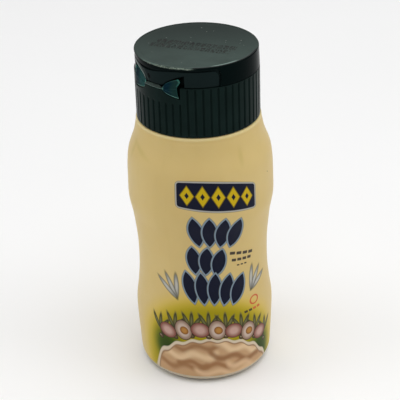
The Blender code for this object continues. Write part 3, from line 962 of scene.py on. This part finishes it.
def dish_height(radius):
    """Return the height of the lid's top, which is dished a little inside its rim."""
    return LID_TOP - LID_DISH * max(0.0, 1.0 - (radius / LID_DISH_RADIUS) ** 2)


def edge_round(outer, inner, height, size, upward):
    """Return a small round edge from a wall at the outer radius to one at the inner radius."""
    size = min(size, outer - inner)
    way = 1.0 if upward else -1.0
    points = []
    for step in range(8):
        turn = math.radians(90.0 * step / 7)
        points.append((outer - size * (1.0 - math.cos(turn)), height - way * size * (1.0 - math.sin(turn))))
    return points


def lid_section(angle):
    """Return the lid's outline at an angle, from the middle of its top to the middle of its underside."""
    off = off_hinge(angle)
    points = [(radius, dish_height(radius)) for radius in LID_TOP_RINGS]
    points += [(radius, LID_TOP - depth) for radius, depth in LID_GROOVE]
    points += arc(LID_RIM_RADIUS - LID_EDGE, LID_TOP - LID_EDGE, LID_EDGE, 90.0, 0.0, 10)
    foot = lid_foot(off)
    in_flap = STRAP_HALF_ANGLE < abs(off) < FLAP_HALF_ANGLE
    in_recess = abs(off) < RECESS_HALF_ANGLE
    edge = FLAP_EDGE[side_of(off)] if in_flap else SMALL_EDGE
    small = SMALL_EDGE
    upper, panel, lower = recess_heights(off)
    upper = min(upper, LID_TOP - LID_EDGE - 0.01 * MM)
    lower = max(lower, foot)
    panel = max(min(panel, upper - 2.0 * small), foot + edge + small)
    open_foot = lower <= foot + small
    in_end = abs(off) > RECESS_HALF_ANGLE - MOAT_END_ANGLE
    panel_radius = MOAT_RADIUS if in_end else RECESS_RADIUS
    panel_foot = max(lower, foot + edge) if open_foot else lower
    steps = [(lid_wall_radius(upper + small), upper + small)]
    steps += [(lid_wall_radius(upper) - 0.3 * small, upper + 0.3 * small)]
    steps += [(lid_wall_radius(upper) - small, upper), (MOAT_RADIUS, upper - 0.01 * small)]
    steps += [(MOAT_RADIUS, panel + small), (MOAT_RADIUS, panel)]
    steps += [(panel_radius - small, panel), (panel_radius - 0.3 * small, panel - 0.3 * small)]
    for step in range(1, 7):
        steps.append((panel_radius, panel - small + (panel_foot - panel + small) * step / 7))
    steps.append((panel_radius, panel_foot))
    points += steps
    if not in_recess:
        low = foot + edge
        high = LID_TOP - LID_EDGE
        rows = len(steps) + 3
        heights = [high + (low - high) * step / rows for step in range(1, rows)]
        points = points[:-len(steps)] + [(lid_wall_radius(height), height) for height in heights]
        outer = lid_wall_radius(low)
    elif open_foot:
        outer = panel_radius
        points += [(outer, panel_foot), (outer, panel_foot)]
    else:
        outer = lid_wall_radius(foot + edge)
        points += [(lid_wall_radius(lower) - small, lower), (lid_wall_radius(lower - small), lower - small)]
    points += edge_round(outer, POCKET_RADIUS, foot, edge, False)
    points += [(POCKET_RADIUS, foot), (POCKET_RADIUS, SEAM), (0.0, SEAM)]
    return points


def angles_round(count, nudge, *features):
    """Return even angles once round from the hinge, with one close to each side of every feature."""
    offs = [360.0 * step / count for step in range(count)]
    for feature in features:
        offs += [(way * feature + shift) % 360.0 for way in (-1.0, 1.0) for shift in (-nudge, nudge)]
    return [HINGE_ANGLE + off for off in sorted({round(off, 4) for off in offs})]


def recess_end_angles():
    """Return the angles off the hinge that give the recess its round ends."""
    steps = 14
    return [
        RECESS_HALF_ANGLE - RECESS_END_ANGLE * (1.0 - math.cos(math.pi * step / (2 * steps)))
        for step in range(1, steps)
    ]


def make_lid(material):
    """Make the lid, with its recess and the slanting edges over the wings."""
    features = [STRAP_HALF_ANGLE, FLAP_HALF_ANGLE, RECESS_HALF_ANGLE, *recess_end_angles()]
    lid = shade(lathe("lid_shell", lid_section, angles_round(LID_COLUMNS, 0.04, *features)), 32.0)
    lid.data.materials.append(material)
    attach(lid, BODY)
    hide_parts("lid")


def notch_height(off):
    """Return the height of the closure's upper edge, which drops under the wings."""
    label = side_of(off)
    if abs(off) >= NOTCH_HALF_ANGLE[label]:
        return SKIRT_TOP
    under_wing = WING_TIP_DEPTH + WING_FALL[label] * wing_spread(off, WING_FOOT_SPREAD[label]) + NOTCH_GAP
    return LID_TOP - max(NOTCH_FLOOR_DEPTH, under_wing)


def skirt_section(angle):
    """Return the closure's outline at an angle, from the middle of its top to the roof of its bore."""
    off = off_hinge(angle)
    edge_height = notch_height(off)
    bore = NECK_RADIUS + GAP
    points = [(0.0, SKIRT_TOP), (POCKET_RADIUS, SKIRT_TOP), (POCKET_RADIUS, edge_height)]
    points += list(reversed(edge_round(SEAM_RADIUS, POCKET_RADIUS, edge_height, SMALL_EDGE, True)))
    start = edge_height - SMALL_EDGE
    end = SKIRT_FOOT + 2.0 * SMALL_EDGE
    parts = [step / WALL_ROWS for step in range(1, WALL_ROWS - 1)] + [0.977, 0.988]
    for part in parts:
        radius = SEAM_RADIUS + (SKIRT_FOOT_RADIUS - SEAM_RADIUS) * part
        points.append((radius, start + (end - start) * part))
    points += edge_round(SKIRT_FOOT_RADIUS, bore, SKIRT_FOOT, 2.0 * SMALL_EDGE, False)
    points += [(bore, SKIRT_FOOT), (bore, SKIRT_FOOT + NECK_LENGTH), (0.0, SKIRT_FOOT + NECK_LENGTH)]
    return points


def geometry_tree(name, sizes, takes_geometry=False):
    """Start a geometry tree with an input for each size, and return it, its group input and its sizes."""
    tree = bpy.data.node_groups.new(name, "GeometryNodeTree")
    if takes_geometry:
        tree.interface.new_socket("Geometry", in_out="INPUT", socket_type="NodeSocketGeometry")
    tree.interface.new_socket("Geometry", in_out="OUTPUT", socket_type="NodeSocketGeometry")
    for label, value in sizes.items():
        kind = "NodeSocketInt" if isinstance(value, int) else "NodeSocketFloat"
        tree.interface.new_socket(label, in_out="INPUT", socket_type=kind)
    group = tree.nodes.new("NodeGroupInput")
    return tree, group, {label: Flow(group.outputs[label]) for label in sizes}


def end_tree(tree, geometry, material):
    """End a geometry tree in Realize Instances and Set Material."""
    real = place(tree, "GeometryNodeRealizeInstances", {"Geometry": geometry})
    coated = place(tree, "GeometryNodeSetMaterial", {"Geometry": real.outputs[0], "Material": material})
    place(tree, "NodeGroupOutput", {"Geometry": coated.outputs[0]})
    return tree


def spot_in(tree):
    """Return the coordinates of each point in a geometry tree."""
    return split(Flow(place(tree, "GeometryNodeInputPosition").outputs[0]))


def move_to(tree, geometry, spot):
    """Set the points of a geometry to a spot."""
    return place(tree, "GeometryNodeSetPosition", {"Geometry": geometry, "Position": spot}).outputs[0]


def ball(tree, radius):
    """Make a coarse ball."""
    return place(tree, "GeometryNodeMeshIcoSphere", {"Radius": radius, "Subdivisions": 1}).outputs[0]


def plate(tree, radius, corners):
    """Make a flat round plate."""
    inputs = {"Vertices": corners, "Radius": radius}
    return place(tree, "GeometryNodeMeshCircle", inputs, fill_type="NGON").outputs[0]


def grow(item, tree, sizes):
    """Run a geometry tree on a piece with its sizes, and keep the result as a plain mesh."""
    modifier = item.modifiers.new(tree.name, "NODES")
    modifier.node_group = tree
    for socket in tree.interface.items_tree:
        if socket.in_out == "INPUT" and socket.name in sizes:
            modifier[socket.identifier] = sizes[socket.name]
    shape = item.evaluated_get(bpy.context.evaluated_depsgraph_get())
    mesh = bpy.data.meshes.new_from_object(shape, depsgraph=bpy.context.evaluated_depsgraph_get())
    item.modifiers.clear()
    item.data = mesh
    return item


def rib_tree(sizes, material):
    """Carve the grooves between the ribs and the thumb hollow into the closure's wall, by rule."""
    tree, group, size = geometry_tree("closure ribs", sizes, takes_geometry=True)
    x, y, z = spot_in(tree)
    radius = length_of(x, y)
    turn = angle_from(x, y, HINGE_ANGLE)
    pitch = 2.0 * math.pi / size["Rib count"]
    off_groove = abs(maths("WRAP", turn, pitch * 0.5, pitch * -0.5)) * radius
    groove = 1.0 - ease(off_groove - size["Groove floor"] * 0.5, 0.0, size["Groove flank"])
    above_window = ease(z, size["Window height"] - 0.35 * MM, size["Window height"] + 0.35 * MM)
    beside = ease(abs(turn), size["Window half angle"], size["Window half angle"] + 0.02)
    in_window = above_window * (1.0 - beside)
    run_out = ease(z, size["Wall top"] - size["Run out"], size["Wall top"] - size["Run out"] * 0.3)
    rib_foot = size["Wall foot"] + size["Rib foot"]
    carved_down = ease(z, rib_foot, rib_foot + size["Foot run out"])
    outside = ease(radius, THUMB_FLOOR_RADIUS + 0.1 * MM, THUMB_FLOOR_RADIUS + 0.9 * MM)
    sink = size["Groove depth"] * groove * (1.0 - in_window) * (1.0 - run_out) * carved_down * outside
    thumb_turn = angle_from(x, y, HINGE_ANGLE + 180.0)
    above = z - (size["Wall top"] + size["Thumb radius"] - size["Thumb drop"])
    off_thumb = length_of(thumb_turn * radius, above)
    part = maths("MINIMUM", off_thumb / size["Thumb radius"], 1.0)
    hollow_radius = size["Thumb floor"] + (radius - size["Thumb floor"]) * part * part * part
    new_radius = maths("MINIMUM", radius - sink, hollow_radius)
    kept = maths("LESS_THAN", radius, size["Thumb floor"])
    new_radius = new_radius * (1.0 - kept) + radius * kept
    factor = new_radius / maths("MAXIMUM", radius, 0.01 * MM)
    carved = move_to(tree, group.outputs["Geometry"], join(x * factor, y * factor, z))
    return end_tree(tree, carved, material)


def make_skirt(material):
    """Make the ribbed closure under the lid."""
    angles = angles_round(CLOSURE_COLUMNS, 0.02, STRAP_HALF_ANGLE, *NOTCH_HALF_ANGLE.values())
    skirt = lathe("closure_skirt", skirt_section, angles)
    sizes = {
        "Rib count": RIB_COUNT,
        "Groove floor": RIB_FLOOR,
        "Groove flank": RIB_FLANK,
        "Groove depth": RIB_DEPTH,
        "Window half angle": math.radians(NOTCH_HALF_ANGLE["right"]),
        "Window height": LID_TOP - WINDOW_DEPTH,
        "Wall top": SKIRT_TOP,
        "Run out": RIB_RUN_OUT,
        "Wall foot": SKIRT_FOOT,
        "Rib foot": RIB_FOOT,
        "Foot run out": RIB_FOOT_RUN_OUT,
        "Thumb radius": THUMB_RADIUS,
        "Thumb drop": THUMB_DROP,
        "Thumb floor": THUMB_FLOOR_RADIUS,
    }
    grow(skirt, rib_tree(sizes, material), sizes)
    shade(skirt, 32.0)
    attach(skirt, BODY)
    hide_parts("closure_base")


def free_edge_angle(label, across):
    """Return the angle of a wing's free edge, which curls out near its top and is waisted under that."""
    stations = WING_FREE_EDGE[label]
    for (start, angle), (end, next_angle) in zip(stations, stations[1:]):
        if across <= end:
            t = (across - start) / (end - start)
            return angle + (next_angle - angle) * t * t * (3.0 - 2.0 * t)
    return stations[-1][1]


def wing_point(label, along, across):
    """Return a point on the outer face of a wing: along it from its tip, across it from top to foot."""
    side = 1.0 if label == "right" else -1.0
    angle = WING_TIP_ANGLE + (free_edge_angle(label, across) - WING_TIP_ANGLE) * along
    reach = 0.004 + 0.996 * along
    top = WING_TIP_DEPTH - WING_RISE * reach ** WING_TOP_SPREAD[label]
    foot = WING_TIP_DEPTH + WING_FALL[label] * reach ** WING_FOOT_SPREAD[label]
    swell = WING_BOW[label] * math.sin(math.pi * across) * along
    crease = WING_CREASE * math.sin(5.0 * math.pi * across + 0.6) * along * (1.2 - along)
    at_end = max(0.0, along - WING_CURL_START) / (1.0 - WING_CURL_START)
    curl = WING_CURL * at_end * max(0.0, 1.0 - across / WING_CURL_DEPTH)
    radius = SEAM_RADIUS - HINGE_INSET - WING_LEAN * (1.0 - across) + swell + crease + curl
    return around(HINGE_ANGLE + side * angle, radius, LID_TOP - top - (foot - top) * across)


def make_wing(label, material):
    """Make one wing of the hinge, a thin springy web that is round at its edges."""
    bm = bmesh.new()
    rows = WING_ROWS
    web = bm.loops.layers.uv.new("web")
    grid = []
    route = {}
    for step in range(rows + 1):
        row = []
        for part in range(rows + 1):
            corner = bm.verts.new(wing_point(label, step / rows, part / rows))
            route[corner] = (step / rows, part / rows)
            row.append(corner)
        grid.append(row)
    for near, far in zip(grid, grid[1:]):
        for part in range(rows):
            corners = [near[part], near[part + 1], far[part + 1], far[part]]
            face = bm.faces.new(corners if label == "right" else list(reversed(corners)))
            for loop in face.loops:
                loop[web].uv = route[loop.vert]
    name = "hinge_web_" + label
    mesh = bpy.data.meshes.new(name)
    bm.to_mesh(mesh)
    bm.free()
    wing = add_object(name, mesh)
    wall = wing.modifiers.new("Wall", "SOLIDIFY")
    wall.thickness = WING_THICKNESS
    wall.offset = -1.0
    rounding = wing.modifiers.new("Rounding", "SUBSURF")
    rounding.levels = 2
    rounding.render_levels = 2
    wing.data.materials.append(material)
    wing.data.shade_smooth()
    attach(wing, BODY)
    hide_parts("hinge_wing_" + label)


def make_strap(material):
    """Make the strap between the wings, a band that thins out towards its ends."""
    bm = bmesh.new()
    steps = 36
    sides = 16
    reach = WING_TIP_ANGLE + 0.1
    rings = []
    for step in range(steps + 1):
        part = 2.0 * step / steps - 1.0
        end = math.sqrt(max(0.0, 1.0 - abs(part) ** 14))
        run = min(max((abs(part) - STRAP_TAPER_START) / STRAP_TAPER_RUN, 0.0), 1.0)
        taper = STRAP_TAPER * run * run * (3.0 - 2.0 * run)
        half_height = STRAP_HALF_HEIGHT * end * (1.0 - taper) + 0.02 * MM
        half_depth = STRAP_HALF_DEPTH * end + 0.02 * MM
        ring = []
        for side in range(sides):
            turn = 2.0 * math.pi * side / sides
            radius = SEAM_RADIUS - HINGE_INSET + half_depth * math.cos(turn)
            height = LID_TOP - STRAP_FOOT_DEPTH + half_height * (1.0 + math.sin(turn))
            ring.append(bm.verts.new(around(HINGE_ANGLE + reach * part, radius, height)))
        rings.append(ring)
    for near, far in zip(rings, rings[1:]):
        for side in range(sides):
            after = (side + 1) % sides
            bm.faces.new((near[side], near[after], far[after], far[side]))
    bm.faces.new(rings[0])
    bm.faces.new(rings[-1])
    bmesh.ops.recalc_face_normals(bm, faces=bm.faces)
    mesh = bpy.data.meshes.new("hinge_band")
    bm.to_mesh(mesh)
    bm.free()
    strap = shade(add_object("hinge_band", mesh), 50.0)
    strap.data.materials.append(material)
    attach(strap, BODY)
    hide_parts("hinge_strap")


def chance(tree, low, high, seed):
    """Return a random number between two values, one for each point."""
    node = place(tree, "FunctionNodeRandomValue", {2: low, 3: high, 8: seed}, data_type="FLOAT")
    return Flow(node.outputs[1])


def strew(tree, points, shape, turn, scale):
    """Put a shape on every point, turned and scaled."""
    inputs = {"Points": points, "Instance": shape, "Rotation": turn, "Scale": scale}
    return place(tree, "GeometryNodeInstanceOnPoints", inputs).outputs[0]


def strewn_piece(name, tree, sizes):
    """Make a piece that a geometry tree makes out of nothing, and let it ride on the body."""
    piece = grow(add_object(name, bpy.data.meshes.new(name)), tree, sizes)
    shade(piece, 60.0)
    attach(piece, BODY)


def burr_tree(sizes, material):
    """Set ragged flakes along the lid's rim, where it is torn."""
    tree, _, size = geometry_tree("rim burrs", sizes)
    line = place(tree, "GeometryNodeMeshLine", {"Count": size["Burr count"]}, mode="OFFSET")
    part = Flow(place(tree, "GeometryNodeInputIndex").outputs[0]) / size["Burr count"]
    clump = noise(join(part * 9.0, 0.0), 1.0, 2.0, 0.6)
    angle = size["Burr start"] + (size["Burr end"] - size["Burr start"]) * part + chance(tree, -0.01, 0.01, 1)
    slope = chance(tree, -1.3, 0.6, 2)
    radius = size["Rim radius"] - size["Rim edge"] + maths("COSINE", slope) * size["Rim edge"]
    height = size["Top"] - size["Rim edge"] + maths("SINE", slope) * (size["Rim edge"] - 0.04 * MM)
    x = maths("SINE", angle) * radius
    y = maths("COSINE", angle) * radius * -1.0
    points = move_to(tree, line.outputs[0], join(x, y, height))
    flake = ball(tree, size["Burr size"])
    grown = ease(clump, 0.4, 0.6, 0.2, 1.2) * ease(part, 0.0, 0.4, 0.6, 1.0)
    long, wide, high = chance(tree, 0.6, 2.6, 3), chance(tree, 0.3, 1.0, 4), chance(tree, 0.3, 1.0, 5)
    nod, lean, twist = chance(tree, -0.6, 0.6, 6), chance(tree, -0.2, 0.2, 7), chance(tree, -0.5, 0.5, 8)
    turn = join(nod, lean, angle + twist)
    scale = join(long * grown, wide * grown, high)
    return end_tree(tree, strew(tree, points, flake, turn, scale), material)


def dust_tree(sizes, material):
    """Scatter dust over the lid's top."""
    tree, _, size = geometry_tree("lid dust", sizes)
    inputs = {"Mesh": plate(tree, size["Dust reach"], 48), "Density": size["Dust density"], "Seed": 11}
    points = place(tree, "GeometryNodeDistributePointsOnFaces", inputs).outputs["Points"]
    points = lay_on_lid(tree, points, DUST_LIFT)
    speck = ball(tree, size["Dust size"])
    luck = chance(tree, 0.0, 1.0, 12)
    big = luck * luck + 0.2
    scale = join(big * chance(tree, 0.6, 2.6, 13), big, big * 0.15)
    turn = join(0.0, 0.0, chance(tree, 0.0, 2.0 * math.pi, 14))
    return end_tree(tree, strew(tree, points, speck, turn, scale), material)


def lay_on_lid(tree, geometry, lift):
    """Set points on the dished top of the lid, under their place."""
    x, y, _ = spot_in(tree)
    part = length_of(x, y) / LID_DISH_RADIUS
    dish = maths("MAXIMUM", 1.0 - part * part, 0.0) * LID_DISH
    return move_to(tree, geometry, join(x, y, LID_TOP + lift - dish))


def ink_row(tree, size, middle, marks, seed):
    """Return the dots of one row of ink marks, chosen at random, so that they spell nothing."""
    columns = marks * MARK_COLUMNS
    inputs = {"Size X": (columns - 1) * size["Dot pitch"], "Size Y": (MARK_ROWS - 1.0) * size["Dot rise"]}
    inputs.update({"Vertices X": columns, "Vertices Y": MARK_ROWS})
    grid = place(tree, "GeometryNodeMeshGrid", inputs).outputs[0]
    x = spot_in(tree)[0]
    column = maths("ROUND", x / size["Dot pitch"] + (0.5 * columns + 0.25))
    between = maths("GREATER_THAN", maths("MODULO", column, float(MARK_COLUMNS)), MARK_COLUMNS - 1.5)
    bare = maths("GREATER_THAN", chance(tree, 0.0, 1.0, seed), INK_LEFT_OUT)
    inputs = {"Geometry": grid, "Selection": maths("MAXIMUM", between, bare)}
    points = place(tree, "GeometryNodeDeleteGeometry", inputs).outputs[0]
    turn = math.radians(INK_TURN)
    inputs = {"Geometry": points, "Translation": (*middle, 0.0), "Rotation": (0.0, 0.0, turn)}
    return place(tree, "GeometryNodeTransform", inputs).outputs[0]


def ink_tree(sizes, material):
    """Print two rows of ink dots on the lid."""
    tree, _, size = geometry_tree("lid ink", sizes)
    both = place(tree, "GeometryNodeJoinGeometry")
    for row in [ink_row(tree, size, *row) for row in INK_ROWS]:
        feed(both.inputs[0], row)
    points = lay_on_lid(tree, both.outputs[0], DOT_LIFT)
    big = chance(tree, 0.7, 1.15, 31)
    dots = strew(tree, points, plate(tree, size["Dot radius"], 8), (0.0, 0.0, 0.0), join(big, big, 1.0))
    return end_tree(tree, dots, material)


def make_strewn_pieces():
    """Make the burrs, the dust and the ink on the lid."""
    sizes = {
        "Burr count": BURR_COUNT,
        "Burr start": math.radians(BURR_START),
        "Burr end": math.radians(BURR_END),
        "Burr size": BURR_SIZE,
        "Rim radius": LID_RIM_RADIUS,
        "Rim edge": LID_EDGE,
        "Top": LID_TOP,
    }
    tones = ((64, 78, 70), (140, 152, 138))
    torn = mottled("pale torn closure plastic", 1.4, 1800.0, (0.35, 0.7), (0.35, 0.2), *tones)
    strewn_piece("rim_burrs", burr_tree(sizes, torn), sizes)
    sizes = {"Dust reach": DUST_REACH, "Dust density": DUST_DENSITY, "Dust size": DUST_SIZE}
    dust = mottled("pale dust", 1.2, 300.0, (0.35, 0.65), (0.8, 0.1), (112, 120, 114), (186, 190, 180))
    strewn_piece("lid_dust", dust_tree(sizes, dust), sizes)
    sizes = {"Dot pitch": DOT_PITCH, "Dot rise": DOT_RISE, "Dot radius": DOT_RADIUS}
    ink = mottled("dark brown ink", 1.1, 700.0, (0.35, 0.65), (0.5, 0.1), (16, 16, 16), (40, 31, 31))
    strewn_piece("lid_ink_dots", ink_tree(sizes, ink), sizes)


def add_light(name, angle, elevation, distance, width, height, power, aim_height):
    """Add a softbox at an angle round the bottle, aimed at its axis."""
    data = bpy.data.lights.new(name, "AREA")
    data.shape = "RECTANGLE"
    data.size = width
    data.size_y = height
    data.energy = power
    light = bpy.data.objects.new(name, data)
    light.visible_camera = False
    bpy.context.scene.collection.objects.link(light)
    rise = math.radians(elevation)
    aim = Vector((0.0, 0.0, aim_height))
    light.location = aim + around(angle, distance * math.cos(rise), distance * math.sin(rise))
    light.rotation_euler = (light.location - aim).to_track_quat("Z", "Y").to_euler()


def make_studio():
    """Lay the floor and set the soft lights."""
    bm = bmesh.new()
    bmesh.ops.create_circle(bm, cap_ends=True, segments=96, radius=FLOOR_RADIUS)
    mesh = bpy.data.meshes.new("studio_floor")
    bm.to_mesh(mesh)
    bm.free()
    floor = add_object("studio_floor", mesh)
    floor.data.materials.append(floor_white())
    world = bpy.data.worlds.new("studio")
    bpy.context.scene.world = world
    world.use_nodes = True
    background = world.node_tree.nodes["Background"]
    background.inputs["Color"].default_value = (1.0, 1.0, 1.0, 1.0)
    background.inputs["Strength"].default_value = WORLD_LIGHT
    for name, (off_camera, *sizes) in SOFTBOXES.items():
        add_light(name, CAMERA_ANGLE + off_camera, *sizes)
    bpy.context.scene.view_settings.view_transform = "Standard"


def make_camera():
    """Set the camera where the photograph was taken from."""
    data = bpy.data.cameras.new("camera")
    data.lens = CAMERA_LENS
    data.sensor_width = CAMERA_SENSOR
    data.clip_start = 0.01
    camera = bpy.data.objects.new("camera", data)
    bpy.context.scene.collection.objects.link(camera)
    turn = Matrix.Rotation(math.radians(CAMERA_ANGLE), 4, "Z")
    tilt = Matrix.Rotation(math.radians(90.0 - CAMERA_ELEVATION), 4, "X")
    roll = Matrix.Rotation(math.radians(-CAMERA_ROLL), 4, "Z")
    aim = Matrix.Translation((CAMERA_AIM_SIDE, 0.0, CAMERA_AIM_HEIGHT))
    back = Matrix.Translation((0.0, 0.0, CAMERA_DISTANCE))
    camera.matrix_world = turn @ aim @ tilt @ roll @ back
    bpy.context.scene.camera = camera


make_camera()
make_studio()
make_bottle()
make_skirt(green_plastic("dark green closure plastic", 1.12))
make_lid(green_plastic("dark green lid plastic", 1.09))
for side_label in ("right", "left"):
    make_wing(side_label, teal_plastic(side_label))
make_strap(strap_plastic())
make_strewn_pieces()
